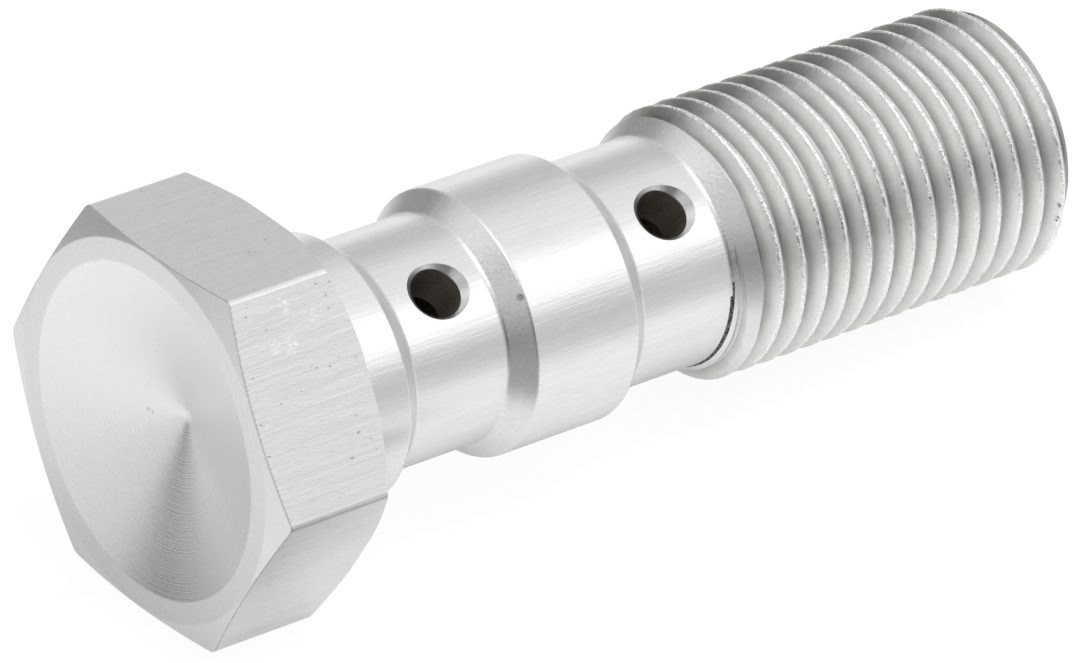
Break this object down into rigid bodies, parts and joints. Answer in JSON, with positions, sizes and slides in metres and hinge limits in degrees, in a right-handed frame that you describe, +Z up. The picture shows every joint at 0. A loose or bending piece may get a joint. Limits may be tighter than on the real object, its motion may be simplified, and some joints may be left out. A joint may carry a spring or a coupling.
{
  "type": "banjo bolt",
  "caption": "Hollow hexagon-head bolt with a coned recess in its head, waisted shank, cross holes and a fine thread, for holding two banjo fittings.",
  "frame": {"origin": "under the middle of the bounding box, on the surface that the bolt lies on", "axes": "+X from the head to the thread end, level, with the bolt's own axis dipping by 3.52 degrees towards the thread end as it lies; +Z up, over a flat of the hexagon; +Y to the left when looking along +X"},
  "size_m": [0.0386, 0.016, 0.0143],
  "materials": {
    "bolt_metal": "bare, satin, drawn lengthwise on the hexagon and turned on the shank"
  },
  "bodies": {
    "root": {"banjo_bolt": "bolt_metal"}
  },
  "joints": []
}
